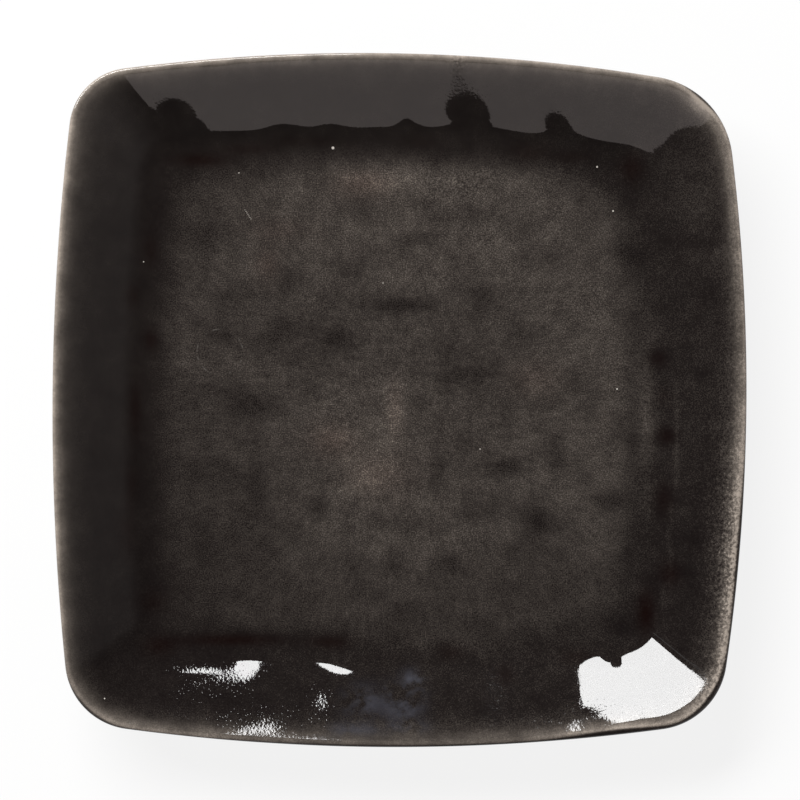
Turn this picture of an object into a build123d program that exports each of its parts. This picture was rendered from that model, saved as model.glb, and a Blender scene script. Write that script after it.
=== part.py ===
"""A square stoneware dinner plate: a pressed clay slab with a rising rim, a foot ring and its coats of glaze.

Millimetres, +Z up. The origin is on the table, under the middle of the plate.
+X is the plate's right and +Y its back, as it lies in front of a diner.
"""

from build123d import *
import os
from math import cos, radians, sin, tan
from typing import NamedTuple

# Overall size, over the glazed lip
WIDTH = 270.0
DEPTH = 270.0
HEIGHT = 30.0

# Outline of the lip: each side is one shallow bow, fullest a little off its middle
RIGHT_BOW_RADIUS = 745.0
BACK_BOW_RADIUS = 712.0
LEFT_BOW_RADIUS = 962.0
FRONT_BOW_RADIUS = 786.0
RIGHT_APEX_Y = 4.6
BACK_APEX_X = -14.7
LEFT_APEX_Y = -5.6
FRONT_APEX_X = -1.1
BACK_RIGHT_CORNER_RADIUS = 34.6
BACK_LEFT_CORNER_RADIUS = 24.4
FRONT_LEFT_CORNER_RADIUS = 27.3
FRONT_RIGHT_CORNER_RADIUS = 28.9

# Clay slab: flat floor, a bend, and a straight rim that thins towards a half-round lip
FLOOR_THICKNESS = 5.5
LIP_THICKNESS = 3.0
RIM_ANGLE = 32.0
WELL_BEND_RADIUS = 30.0
WELL_CORNER_RADIUS = 12.0

# Foot ring, luted to the floor's underside
FOOT_HEIGHT = 5.0
FOOT_WIDTH = 7.0
FOOT_SETBACK = 4.5
FOOT_CORNER_RADIUS = 24.0
FOOT_EDGE_RADIUS = 2.0

# Glaze coats: thick where they pool on the floor, thin where they break over the lip
FACE_GLAZE = 0.5
UNDERSIDE_GLAZE = 0.4
LIP_GLAZE = 0.25
LIP_BREAK_DROP = 2.8

# How finely the curved stretches of the section are followed
RIM_STEPS = 4
BEND_STEPS = 6
LIP_STEP_ANGLE = 29.0


class Side(NamedTuple):
    """One bowed side: the centre and radius of its arc in the lip's outline."""

    centre: Vector
    radius: float


class Station(NamedTuple):
    """A point of the clay's face in section: its inset from the lip's outline, its height, the wall's lean
    there, and its share of the way from the lip to the floor."""

    inset: float
    height: float
    lean: float
    share: float


# Sides and corners run anticlockwise from the right; corner i joins side i to side i + 1
SIDES = [
    Side(Vector(WIDTH / 2 - RIGHT_BOW_RADIUS, RIGHT_APEX_Y), RIGHT_BOW_RADIUS),
    Side(Vector(BACK_APEX_X, DEPTH / 2 - BACK_BOW_RADIUS), BACK_BOW_RADIUS),
    Side(Vector(LEFT_BOW_RADIUS - WIDTH / 2, LEFT_APEX_Y), LEFT_BOW_RADIUS),
    Side(Vector(FRONT_APEX_X, FRONT_BOW_RADIUS - DEPTH / 2), FRONT_BOW_RADIUS),
]
CORNER_RADII = [
    BACK_RIGHT_CORNER_RADIUS,
    BACK_LEFT_CORNER_RADIUS,
    FRONT_LEFT_CORNER_RADIUS,
    FRONT_RIGHT_CORNER_RADIUS,
]

# Middle of the half-round lip, in the slab's section
LIP_RADIUS = LIP_THICKNESS / 2
LIP_INSET = LIP_RADIUS + LIP_GLAZE
LIP_MIDDLE_HEIGHT = HEIGHT - LIP_RADIUS - LIP_GLAZE
FLOOR_HEIGHT = FOOT_HEIGHT + FLOOR_THICKNESS


def mix(start, end, share):
    """The value that lies this share of the way from start to end."""
    return start + (end - start) * share


def corner_centre(first, second, inset, radius):
    """Centre of the arc of this radius that rounds the corner between two sides."""
    to_first = first.radius - inset - radius
    to_second = second.radius - inset - radius
    between = second.centre - first.centre
    along = (to_first**2 - to_second**2 + between.length**2) / (2 * between.length)
    across = (to_first**2 - along**2) ** 0.5
    direction = between.normalized()
    return first.centre + direction * along + direction.rotate(Axis.Z, 90) * across


def arc_about(centre, start, end):
    """The shorter arc from start to end about a centre."""
    middle = ((start - centre) + (end - centre)).normalized() * (start - centre).length
    return ThreePointArc(start, centre + middle, end)


def outline(inset, radii, height):
    """Closed outline at a height: the lip's sides moved in by inset, with these corner radii."""
    corners = [
        corner_centre(SIDES[i], SIDES[(i + 1) % 4], inset, radii[i]) for i in range(4)
    ]

    def touch(side, corner):
        outwards = (corners[corner] - SIDES[side].centre).normalized()
        return SIDES[side].centre + outwards * (SIDES[side].radius - inset)

    edges = []
    for i in range(4):
        following = (i + 1) % 4
        edges.append(arc_about(SIDES[i].centre, touch(i, i - 1), touch(i, i)))
        edges.append(arc_about(corners[i], touch(i, i), touch(following, i)))
    return Pos(0, 0, height) * Wire(edges)


def rim_stations():
    """Stations down the clay's face, from the lip's edge to the edge of the floor."""
    lean = radians(RIM_ANGLE)
    top_inset = LIP_INSET + LIP_RADIUS * sin(lean)
    top_height = LIP_MIDDLE_HEIGHT + LIP_RADIUS * cos(lean)
    bend_height = FLOOR_HEIGHT + WELL_BEND_RADIUS * (1 - cos(lean))
    bend_inset = top_inset + (top_height - bend_height) / tan(lean)
    well_inset = bend_inset + WELL_BEND_RADIUS * sin(lean)

    points = []
    for step in range(RIM_STEPS):
        share = step / RIM_STEPS
        point = (mix(top_inset, bend_inset, share), mix(top_height, bend_height, share))
        points.append((*point, RIM_ANGLE))
    for step in range(BEND_STEPS + 1):
        turn = RIM_ANGLE * (1 - step / BEND_STEPS)
        inset = well_inset - WELL_BEND_RADIUS * sin(radians(turn))
        height = FLOOR_HEIGHT + WELL_BEND_RADIUS * (1 - cos(radians(turn)))
        points.append((inset, height, turn))
    run = well_inset - top_inset
    return [Station(*point, (point[0] - top_inset) / run) for point in points]


STATIONS = rim_stations()


def lip_outline(thickness, turn):
    """Ring on the half-round lip, with glaze of this thickness; turn 90 is its face side, -90 its back."""
    reach = LIP_RADIUS + thickness
    direction = radians(180 - RIM_ANGLE - turn)
    inset = LIP_INSET + reach * cos(direction)
    height = LIP_MIDDLE_HEIGHT + reach * sin(direction)
    return outline(inset, [radius - inset for radius in CORNER_RADII], height)


def wall_outline(station, offset):
    """Ring at a station, moved square to the clay's face; a positive offset moves it into the hollow."""
    shift = offset * sin(radians(station.lean))
    height = station.height + offset * cos(radians(station.lean))
    lip_edge = STATIONS[0].inset
    radii = [
        mix(radius - lip_edge, WELL_CORNER_RADIUS, station.share) - shift
        for radius in CORNER_RADII
    ]
    return outline(station.inset + shift, radii, height)


def turns_between(start, end):
    """Evenly spread turns round the lip, with both ends."""
    count = max(1, round(abs(end - start) / LIP_STEP_ANGLE))
    return [mix(start, end, step / count) for step in range(count + 1)]


CREST_TURN = 90.0 - RIM_ANGLE


def hollow(floor_glaze, lip_glaze):
    """The space over the plate's face, up to the lip's crest, above glaze of these thicknesses."""
    rings = [
        wall_outline(station, mix(lip_glaze, floor_glaze, station.share))
        for station in reversed(STATIONS[1:])
    ]
    rings += [lip_outline(lip_glaze, turn) for turn in turns_between(90, CREST_TURN)]
    return Solid.make_loft(rings)


def form(floor_glaze, lip_glaze):
    """The plate without its hollow, from the floor's underside to the lip's crest."""
    rings = []
    for station in reversed(STATIONS[1:]):
        clay = mix(LIP_THICKNESS, FLOOR_THICKNESS, station.share)
        glaze = mix(lip_glaze, floor_glaze, station.share)
        rings.append(wall_outline(station, -clay - glaze))
    rings += [lip_outline(lip_glaze, turn) for turn in turns_between(-90, CREST_TURN)]
    return Solid.make_loft(rings)


def slab_between(low, high):
    """A flat slab wider than the plate, for parting the glaze at a height."""
    size = 2 * max(WIDTH, DEPTH)
    return Pos(0, 0, (low + high) / 2) * Box(size, size, high - low)


def foot_prism(inset):
    """Upright prism from the table to the floor's underside, this far in from the foot ring's outer wall."""
    from_lip = STATIONS[-1].inset + FOOT_SETBACK + inset
    base = outline(from_lip, [FOOT_CORNER_RADIUS - inset] * 4, 0)
    return extrude(Face(base), FOOT_HEIGHT, dir=(0, 0, 1))


def make_foot_ring():
    """Square ring of clay with a rounded tread, bare where it stands on the table."""
    ring = foot_prism(0) - foot_prism(FOOT_WIDTH)
    tread = ring.faces().sort_by(Axis.Z)[0]
    return fillet(tread.edges(), FOOT_EDGE_RADIUS)


def make_body():
    """The pressed slab: floor, bend, rim and lip in one piece of clay."""
    return form(0, 0) - hollow(0, 0)


def make_coats(body):
    """Glaze, parted where it breaks over the lip and where the foot ring stands on the floor."""
    coat = form(UNDERSIDE_GLAZE, LIP_GLAZE) - hollow(FACE_GLAZE, LIP_GLAZE) - body
    break_height = HEIGHT - LIP_BREAK_DROP
    lip = coat & slab_between(break_height, HEIGHT + LIP_BREAK_DROP)
    lower = coat & slab_between(0, break_height)
    underside, face = lower.solids().sort_by(Axis.Z)
    return {
        "face_glaze": face,
        "lip_glaze": lip,
        "underside_glaze": underside - foot_prism(0),
        "foot_recess_glaze": underside & foot_prism(FOOT_WIDTH),
    }


def main():
    body = make_body()
    parts = {"stoneware_body": body, "foot_ring": make_foot_ring(), **make_coats(body)}
    os.makedirs("parts", exist_ok=True)
    for name, shape in parts.items():
        export_step(shape, f"parts/{name}.step")
        print(name, len(shape.solids()), "solid", round(shape.volume), "mm3")


main()
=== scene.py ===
"""Looks of the square stoneware dinner plate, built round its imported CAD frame.

The clay body, its coats of glaze and the foot ring are rebuilt as dense meshes with the uneven surface of a
hand-pressed plate. Metres, in the CAD frame: +Z up, +X right, +Y back, origin on the table under the plate.
"""

from math import cos, pi, radians, sin, tan
from typing import NamedTuple

import bpy
import numpy as np
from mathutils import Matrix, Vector


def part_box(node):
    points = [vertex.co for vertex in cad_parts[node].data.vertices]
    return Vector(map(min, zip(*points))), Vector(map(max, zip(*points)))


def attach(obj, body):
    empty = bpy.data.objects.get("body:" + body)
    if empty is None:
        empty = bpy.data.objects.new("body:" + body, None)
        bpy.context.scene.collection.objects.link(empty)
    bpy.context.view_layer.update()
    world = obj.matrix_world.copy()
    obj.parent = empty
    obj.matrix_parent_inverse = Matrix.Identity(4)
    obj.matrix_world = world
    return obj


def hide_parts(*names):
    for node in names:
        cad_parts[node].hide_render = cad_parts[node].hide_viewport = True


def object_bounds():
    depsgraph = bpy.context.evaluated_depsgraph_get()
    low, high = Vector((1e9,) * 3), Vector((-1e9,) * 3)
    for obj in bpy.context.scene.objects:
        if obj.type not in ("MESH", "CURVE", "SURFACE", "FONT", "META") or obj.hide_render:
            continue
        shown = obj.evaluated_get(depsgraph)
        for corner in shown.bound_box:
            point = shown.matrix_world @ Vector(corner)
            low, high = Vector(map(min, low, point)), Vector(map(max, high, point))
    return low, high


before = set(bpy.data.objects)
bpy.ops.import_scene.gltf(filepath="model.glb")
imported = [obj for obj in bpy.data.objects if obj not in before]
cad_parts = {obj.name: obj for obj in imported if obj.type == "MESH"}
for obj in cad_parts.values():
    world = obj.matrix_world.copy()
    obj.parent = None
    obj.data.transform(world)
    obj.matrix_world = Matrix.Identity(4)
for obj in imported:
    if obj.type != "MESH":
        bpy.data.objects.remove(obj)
CAD_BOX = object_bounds()

MM = 0.001

# Sizes read from the frame
WIDTH = CAD_BOX[1].x - CAD_BOX[0].x
DEPTH = CAD_BOX[1].y - CAD_BOX[0].y
HEIGHT = CAD_BOX[1].z
FOOT_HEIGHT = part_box("foot_ring")[1].z
FLOOR_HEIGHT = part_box("face_glaze")[0].z
FOOT_OUTER_INSET = CAD_BOX[1].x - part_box("foot_ring")[1].x
FOOT_INNER_INSET = CAD_BOX[1].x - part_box("foot_recess_glaze")[1].x
UNDERSIDE_GLAZE = FOOT_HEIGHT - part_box("foot_recess_glaze")[0].z

# Outline of the lip: each side is one shallow bow, fullest a little off its middle
RIGHT_BOW_RADIUS = 745 * MM
BACK_BOW_RADIUS = 712 * MM
LEFT_BOW_RADIUS = 962 * MM
FRONT_BOW_RADIUS = 786 * MM
RIGHT_APEX_Y = 4.6 * MM
BACK_APEX_X = -14.7 * MM
LEFT_APEX_Y = -5.6 * MM
FRONT_APEX_X = -1.1 * MM
BACK_RIGHT_CORNER_RADIUS = 34.6 * MM
BACK_LEFT_CORNER_RADIUS = 24.4 * MM
FRONT_LEFT_CORNER_RADIUS = 27.3 * MM
FRONT_RIGHT_CORNER_RADIUS = 28.9 * MM

# Section of the clay slab and its glaze
LIP_THICKNESS = 3 * MM
LIP_SQUARENESS = 4.0
RIM_ANGLE = 32.0
WELL_BEND_RADIUS = 30 * MM
WELL_CORNER_RADIUS = 12 * MM
FACE_GLAZE = 0.5 * MM
LIP_GLAZE = 0.25 * MM
FOOT_CORNER_RADIUS = 24 * MM
FOOT_EDGE_RADIUS = 2 * MM

# How finely the meshes follow the plate
SIDE_COLUMNS = 132
CORNER_COLUMNS = 28
RIM_STEPS = 24
BEND_STEPS = 16
LIP_STEPS = 24
FOOT_EDGE_STEPS = 6
COLUMNS = 4 * (SIDE_COLUMNS + CORNER_COLUMNS)
PATCH_SIZE = COLUMNS // 4
PATCH_INNER_POINTS = (PATCH_SIZE - 1) ** 2

# The photograph: pixels across it, where the plate lies in it, and the camera's height over the lip
IMAGE_PIXELS = 800
PLATE_PIXELS = 694
PLATE_MIDDLE_X = 399.5
PLATE_MIDDLE_Y = 400.0
PIXEL = WIDTH / PLATE_PIXELS
CAMERA_HEIGHT = 1.4


def on_plate(x, y):
    """A place on the plate, as x + iy, from a pixel of the photograph."""
    return complex((x - PLATE_MIDDLE_X) * PIXEL, (PLATE_MIDDLE_Y - y) * PIXEL)


def mix(start, end, share):
    """The value that lies this share of the way from start to end."""
    return start + (end - start) * share


def smooth_step(low, high, value):
    """0 below low, 1 above high, and a smooth rise between them."""
    share = np.clip((value - low) / (high - low), 0, 1)
    return share * share * (3 - 2 * share)


# Outline, with plan positions as complex numbers


class Side(NamedTuple):
    """One bowed side: the centre and radius of its arc in the lip's outline."""

    centre: complex
    radius: float


# Sides and corners run anticlockwise from the right; corner i joins side i to side i + 1
SIDES = [
    Side(complex(WIDTH / 2 - RIGHT_BOW_RADIUS, RIGHT_APEX_Y), RIGHT_BOW_RADIUS),
    Side(complex(BACK_APEX_X, DEPTH / 2 - BACK_BOW_RADIUS), BACK_BOW_RADIUS),
    Side(complex(LEFT_BOW_RADIUS - WIDTH / 2, LEFT_APEX_Y), LEFT_BOW_RADIUS),
    Side(complex(FRONT_APEX_X, FRONT_BOW_RADIUS - DEPTH / 2), FRONT_BOW_RADIUS),
]
CORNER_RADII = np.array([
    BACK_RIGHT_CORNER_RADIUS,
    BACK_LEFT_CORNER_RADIUS,
    FRONT_LEFT_CORNER_RADIUS,
    FRONT_RIGHT_CORNER_RADIUS,
])


def corner_centre(first, second, inset, radius):
    """Centre of the arc of this radius that rounds the corner between two sides."""
    to_first = first.radius - inset - radius
    to_second = second.radius - inset - radius
    between = second.centre - first.centre
    along = (to_first**2 - to_second**2 + abs(between) ** 2) / (2 * abs(between))
    across = (to_first**2 - along**2) ** 0.5
    return first.centre + between / abs(between) * complex(along, across)


def arc(centre, start, end, count):
    """Evenly spread points on the arc from start to end, without its end."""
    turn = np.angle((end - centre) / (start - centre))
    return centre + (start - centre) * np.exp(1j * turn * np.arange(count) / count)


def ring(inset, radii):
    """Closed ring of points: the lip's outline moved in by inset, with these corner radii."""
    centres = [
        corner_centre(SIDES[i], SIDES[(i + 1) % 4], inset, radii[i]) for i in range(4)
    ]

    def touch(side, corner):
        outwards = centres[corner] - SIDES[side].centre
        return SIDES[side].centre + outwards / abs(outwards) * (SIDES[side].radius - inset)

    arcs = []
    for i in range(4):
        following = (i + 1) % 4
        arcs.append(arc(SIDES[i].centre, touch(i, i - 1), touch(i, i), SIDE_COLUMNS))
        arcs.append(arc(centres[i], touch(i, i), touch(following, i), CORNER_COLUMNS))
    return np.concatenate(arcs)


def inset_of(places, corner_inset):
    """How far in from the lip's outline a place is, with corners rounded about points at corner_inset."""
    right, back, left, front = (side.radius - abs(places - side.centre) for side in SIDES)
    across = np.minimum(left, right)
    along = np.minimum(front, back)
    rounded = corner_inset - np.hypot(corner_inset - across, corner_inset - along)
    in_corner = (across < corner_inset) & (along < corner_inset)
    return np.where(in_corner, rounded, np.minimum(across, along))


# Section of the clay slab


LIP_RADIUS = LIP_THICKNESS / 2
LIP_INSET = LIP_RADIUS + LIP_GLAZE
LIP_MIDDLE_HEIGHT = HEIGHT - LIP_RADIUS - LIP_GLAZE
FLOOR_THICKNESS = FLOOR_HEIGHT - FOOT_HEIGHT

# The lip's section turns from its back, under the rim, to its face side, in degrees
BACK_TURN = -90
FACE_TURN = 90


class Station(NamedTuple):
    """A point of the clay's face in section: its inset from the lip's outline, its height, the wall's lean
    there, and its share of the way from the lip to the floor."""

    inset: float
    height: float
    lean: float
    share: float


def rim_stations():
    """Stations down the clay's face, from the lip's edge to the edge of the floor."""
    lean = radians(RIM_ANGLE)
    top_inset = LIP_INSET + LIP_RADIUS * sin(lean)
    top_height = LIP_MIDDLE_HEIGHT + LIP_RADIUS * cos(lean)
    bend_height = FLOOR_HEIGHT + WELL_BEND_RADIUS * (1 - cos(lean))
    bend_inset = top_inset + (top_height - bend_height) / tan(lean)
    well_inset = bend_inset + WELL_BEND_RADIUS * sin(lean)

    points = []
    for step in range(RIM_STEPS):
        share = step / RIM_STEPS
        point = (mix(top_inset, bend_inset, share), mix(top_height, bend_height, share))
        points.append((*point, lean))
    for step in range(BEND_STEPS + 1):
        turn = lean * (1 - step / BEND_STEPS)
        inset = well_inset - WELL_BEND_RADIUS * sin(turn)
        height = FLOOR_HEIGHT + WELL_BEND_RADIUS * (1 - cos(turn))
        points.append((inset, height, turn))
    run = well_inset - top_inset
    return [Station(*point, (point[0] - top_inset) / run) for point in points]


STATIONS = rim_stations()
LIP_EDGE = STATIONS[0].inset
WELL_INSET = STATIONS[-1].inset


def lip_reach(direction):
    """How far the lip's surface is from its middle: round, but squared over its upper outer quarter."""
    if not pi / 2 < direction < pi:
        return LIP_RADIUS
    power = LIP_SQUARENESS
    return LIP_RADIUS * (abs(cos(direction)) ** power + sin(direction) ** power) ** (-1 / power)


def lip_ring(turn):
    """Ring on the clay's lip, at a turn from its back to its face side, with its height and inset."""
    direction = radians(180 - RIM_ANGLE - turn)
    reach = lip_reach(direction)
    inset = LIP_INSET + reach * cos(direction)
    height = LIP_MIDDLE_HEIGHT + reach * sin(direction)
    return ring(inset, CORNER_RADII - inset), height, inset


def wall_ring(station, offset):
    """Ring at a station, moved square to the clay's face; a positive offset moves it into the hollow."""
    shift = offset * sin(station.lean)
    height = station.height + offset * cos(station.lean)
    radii = mix(CORNER_RADII - LIP_EDGE, WELL_CORNER_RADIUS, station.share) - shift
    return ring(station.inset + shift, radii), height


def floor_ring(inset):
    """Ring on the flat underside, parallel to the foot ring."""
    radii = np.full(4, FOOT_CORNER_RADIUS + FOOT_OUTER_INSET - inset)
    return ring(inset, radii), FOOT_HEIGHT


# Unevenness of the hand-pressed slab


class Mark(NamedTuple):
    """A soft oval mark: its middle and half-widths in pixels of the photograph, and its strength."""

    x: float
    y: float
    half_width: float
    half_height: float
    strength: float


# Swells and hollows of the clay's rim and bend, in millimetres; the rim's reflections break over them
FAR_SWELLS = [
    Mark(170, 137, 26, 30, 0.80),
    Mark(325, 142, 85, 14, -0.80),
    Mark(278, 137, 24, 16, 0.55),
    Mark(325, 134, 18, 14, 0.32),
    Mark(404, 135, 12, 14, 0.64),
    Mark(459, 136, 31, 33, 0.95),
    Mark(549, 141, 20, 25, 0.55),
    Mark(576, 152, 16, 18, 0.25),
    Mark(676, 164, 26, 26, 0.75),
    Mark(650, 164, 16, 16, 0.40),
]
NEAR_LEFT_SWELLS = [
    Mark(170, 674, 45, 7, -0.35),
    Mark(190, 659, 30, 10, 0.35),
    Mark(235, 666, 13, 13, -0.10),
    Mark(268, 675, 45, 11, 0.25),
    Mark(314, 662, 20, 7, -0.20),
    Mark(350, 663, 15, 8, 0.25),
    Mark(360, 673, 22, 7, 0.25),
    Mark(330, 704, 10, 11, 0.05),
    Mark(210, 732, 40, 7, -0.40),
    Mark(285, 730, 25, 28, 0.10),
]
NEAR_RIGHT_SWELLS = [
    Mark(563, 726, 26, 14, 0.20),
    Mark(587, 731, 20, 15, 0.35),
    Mark(575, 697, 37, 60, -0.50),
    Mark(570, 653, 16, 13, 0.45),
    Mark(598, 666, 13, 8, 0.10),
    Mark(611, 650, 8, 12, 1.05),
    Mark(715, 720, 95, 95, 0.90),
]
SWELLS = FAR_SWELLS + NEAR_LEFT_SWELLS + NEAR_RIGHT_SWELLS

# Where the rim rolls over flat before the lip, in millimetres of drop at its edge
ROLLED_LIP = [
    Mark(280, 741, 40, 33, 0.55),
    Mark(660, 718, 135, 60, 1.70),
]
ROLL_WIDTH = 8 * MM

# Thumb marks on the floor and bend, where glaze lies deeper, and high spots, where it is thin
THUMB_MARKS = [
    Mark(250, 403, 17, 14, 0.75),
    Mark(217, 336, 15, 14, 0.50),
    Mark(337, 341, 13, 11, 0.65),
    Mark(280, 334, 24, 18, 0.40),
    Mark(400, 305, 30, 7, 0.90),
    Mark(481, 297, 15, 15, 0.55),
    Mark(526, 337, 18, 13, 0.45),
    Mark(480, 372, 22, 9, 0.40),
    Mark(440, 352, 24, 20, 0.20),
    Mark(437, 470, 9, 17, 0.60),
    Mark(505, 467, 20, 10, 0.70),
    Mark(558, 458, 9, 18, 0.45),
    Mark(537, 520, 15, 17, 0.90),
    Mark(402, 523, 20, 8, 0.40),
    Mark(352, 568, 11, 13, 0.50),
    Mark(320, 508, 9, 8, 0.50),
    Mark(258, 490, 12, 22, 0.50),
    Mark(445, 566, 15, 12, 0.50),
    Mark(396, 566, 12, 10, 0.45),
    Mark(342, 268, 14, 12, 0.40),
    Mark(352, 200, 20, 14, 0.25),
    Mark(472, 215, 25, 10, 0.25),
    Mark(415, 240, 22, 8, 0.30),
    Mark(545, 262, 20, 16, 0.20),
    Mark(232, 292, 18, 15, 0.30),
    Mark(286, 282, 16, 13, 0.45),
    Mark(205, 240, 16, 16, 0.40),
    Mark(192, 402, 22, 12, 0.30),
    Mark(205, 470, 26, 14, 0.35),
    Mark(204, 542, 24, 20, 0.30),
    Mark(575, 388, 14, 12, 0.35),
    Mark(612, 500, 15, 10, 0.50),
    Mark(658, 358, 10, 9, 0.80),
    Mark(667, 436, 11, 9, 0.80),
    Mark(336, 396, 26, 22, -0.10),
    Mark(395, 412, 12, 28, -0.30),
    Mark(366, 475, 28, 26, -0.30),
    Mark(380, 182, 40, 16, -0.30),
    Mark(500, 180, 50, 16, -0.25),
    Mark(690, 190, 22, 26, -0.35),
    Mark(692, 400, 20, 50, -0.18),
    Mark(452, 378, 18, 8, 0.35),
    Mark(497, 362, 10, 10, 0.40),
    Mark(478, 512, 22, 14, 0.40),
    Mark(421, 408, 10, 14, 0.20),
    Mark(445, 650, 12, 9, 0.45),
    Mark(265, 638, 85, 9, 0.35),
    Mark(645, 418, 7, 30, -0.35),
    Mark(627, 255, 12, 14, 0.60),
    Mark(662, 495, 10, 12, 0.50),
]
THUMB_CONTRAST = 1.35

# Where the whole coat ran thicker, and where it ran thinner; two of the thinning marks are painted
# reflections
DRIFTS_AND_PAINTED_REFLECTIONS = [
    Mark(190, 560, 110, 130, 0.50),
    Mark(190, 400, 90, 140, 0.30),
    Mark(175, 210, 50, 60, 0.45),
    Mark(225, 172, 45, 14, 0.40),
    Mark(230, 205, 60, 30, 0.22),
    Mark(175, 280, 28, 30, 0.40),
    Mark(335, 330, 55, 40, 0.40),
    Mark(455, 370, 40, 60, 0.30),
    Mark(505, 412, 35, 14, 0.30),
    Mark(365, 440, 34, 18, -0.35),
    Mark(540, 565, 60, 30, 0.45),
    Mark(250, 520, 30, 30, 0.25),
    Mark(195, 585, 45, 25, 0.30),
    Mark(190, 652, 50, 14, 0.45),
    Mark(470, 645, 45, 12, -0.40),
    Mark(400, 603, 220, 30, 0.50),
    Mark(635, 600, 40, 60, 0.35),
    Mark(610, 190, 30, 30, 0.55),
    Mark(420, 172, 100, 14, -0.40),
    Mark(647, 410, 12, 110, -0.55),
    Mark(180, 705, 140, 34, 0.55),
    Mark(92, 660, 30, 45, 0.40),
    Mark(500, 712, 90, 14, 0.40),
    Mark(690, 560, 26, 90, 0.35),
    Mark(738, 345, 14, 80, 0.45),
    Mark(690, 243, 50, 6, 0.40),
    Mark(400, 742, 250, 10, 1.15),
    # Painted reflections: these two thin the glaze to lighten the far left rim and the back right corner
    Mark(100, 160, 22, 50, -0.50),
    Mark(701, 105, 12, 12, -0.55),
    Mark(250, 84, 50, 12, 0.45),
    Mark(308, 370, 16, 40, 0.35),
    Mark(352, 300, 16, 10, 0.28),
    Mark(468, 450, 16, 24, 0.40),
    Mark(525, 402, 18, 9, 0.26),
    Mark(250, 552, 42, 16, 0.30),
    Mark(425, 641, 28, 9, -0.42),
    Mark(360, 604, 22, 13, -0.40),
    Mark(400, 611, 14, 12, 0.40),
    Mark(185, 190, 20, 16, 0.32),
]

# Blotches on the right side's rim and bend: deeper glaze, and thinner
RIGHT_BLOTCHES = [
    Mark(630, 198, 8, 18, 0.50),
    Mark(645, 254, 12, 7, 0.55),
    Mark(712, 290, 10, 14, 0.55),
    Mark(700, 374, 16, 8, 0.50),
    Mark(633, 449, 8, 18, 0.55),
    Mark(671, 495, 9, 9, 0.60),
    Mark(659, 512, 6, 8, 0.45),
    Mark(628, 548, 6, 22, 0.35),
    Mark(693, 540, 14, 8, 0.70),
    Mark(656, 577, 10, 12, 0.70),
    Mark(684, 571, 8, 7, 0.60),
    Mark(646, 616, 9, 8, 0.90),
    Mark(628, 629, 16, 7, 0.80),
    Mark(719, 210, 9, 28, 0.60),
    Mark(720, 325, 8, 45, 0.32),
    Mark(690, 165, 18, 8, -0.42),
    Mark(694, 213, 14, 16, -0.40),
    Mark(696, 256, 12, 8, -0.55),
    Mark(650, 338, 9, 12, -0.38),
    Mark(653, 390, 8, 10, -0.50),
    Mark(652, 430, 7, 13, -0.60),
    Mark(675, 457, 9, 10, -0.52),
    Mark(652, 488, 9, 12, -0.38),
    Mark(682, 511, 9, 8, -0.70),
    Mark(636, 587, 8, 7, -0.70),
    Mark(666, 602, 7, 9, -0.42),
    Mark(722, 625, 6, 24, -0.30),
]

# Faint pale line along the right bend, where the glaze runs thin over a low ridge: points down the line
RIDGE_LINE = [
    (677, 400), (677, 422), (677, 444), (677, 466), (676, 488), (671, 512), (668, 535), (671, 556),
    (671, 577), (663, 597), (656, 618),
]
RIDGE_HALF_WIDTH = 2.2
RIDGE_HALF_HEIGHT = 14
RIDGE_STRENGTH = -0.6
PALE_RIDGE = [Mark(x, y, RIDGE_HALF_WIDTH, RIDGE_HALF_HEIGHT, RIDGE_STRENGTH) for x, y in RIDGE_LINE]

# Where glaze has pooled near black at the floor's edge and turned rusty
POOLED_MARKS = [
    Mark(200, 160, 26, 7, 0.9),
    Mark(248, 149, 26, 6, 0.5),
    Mark(305, 141, 36, 6, 0.4),
    Mark(420, 141, 22, 8, 0.3),
    Mark(530, 152, 20, 11, 0.5),
    Mark(572, 157, 18, 7, 0.4),
    Mark(632, 168, 12, 14, 0.8),
    Mark(150, 250, 8, 16, 0.5),
    Mark(131, 296, 7, 12, 0.6),
    Mark(151, 340, 7, 10, 0.7),
    Mark(134, 410, 7, 28, 0.7),
    Mark(130, 485, 7, 22, 0.5),
    Mark(126, 532, 8, 22, 0.5),
    Mark(152, 602, 14, 12, 0.5),
    Mark(158, 646, 16, 10, 0.7),
    Mark(232, 640, 50, 6, 0.9),
    Mark(330, 642, 20, 7, 0.8),
    Mark(450, 652, 12, 9, 0.5),
    Mark(505, 676, 8, 9, 0.5),
    Mark(575, 657, 16, 8, 0.4),
    Mark(657, 359, 9, 9, 0.5),
    Mark(664, 396, 9, 8, 0.3),
    Mark(667, 436, 10, 9, 0.6),
    Mark(664, 500, 10, 18, 0.5),
    Mark(670, 574, 10, 12, 0.7),
    Mark(646, 612, 9, 20, 1.0),
]
POOLED_DEPTH = 0.8

# Painted reflection: faint blue patches on the near rim, where it mirrors a bluish glow beside the softbox
PAINTED_REFLECTION_MARKS = [
    Mark(362, 703, 16, 14, 0.7),
    Mark(402, 703, 17, 16, 0.9),
    Mark(413, 682, 10, 10, 0.8),
    Mark(352, 730, 30, 6, 0.5),
    Mark(410, 728, 16, 6, 0.5),
]

# Where the clay shows redder through the glaze
WARM_MARKS = [
    Mark(278, 230, 28, 12, 0.22),
    Mark(362, 184, 30, 14, 0.35),
    Mark(267, 264, 12, 16, 0.35),
    Mark(332, 440, 22, 16, 0.35),
    Mark(380, 475, 32, 22, 0.22),
    Mark(533, 378, 28, 18, 0.22),
    Mark(395, 410, 8, 25, 0.22),
]

# Where the lip's coarse sand shows through its thin glaze
SPECKLED_MARKS = [
    Mark(722, 555, 24, 125, 1.0),
    Mark(712, 690, 20, 30, 0.6),
    Mark(590, 722, 24, 10, 0.15),
    Mark(730, 330, 12, 130, 0.4),
    Mark(458, 72, 7, 20, 0.7),
]

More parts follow.
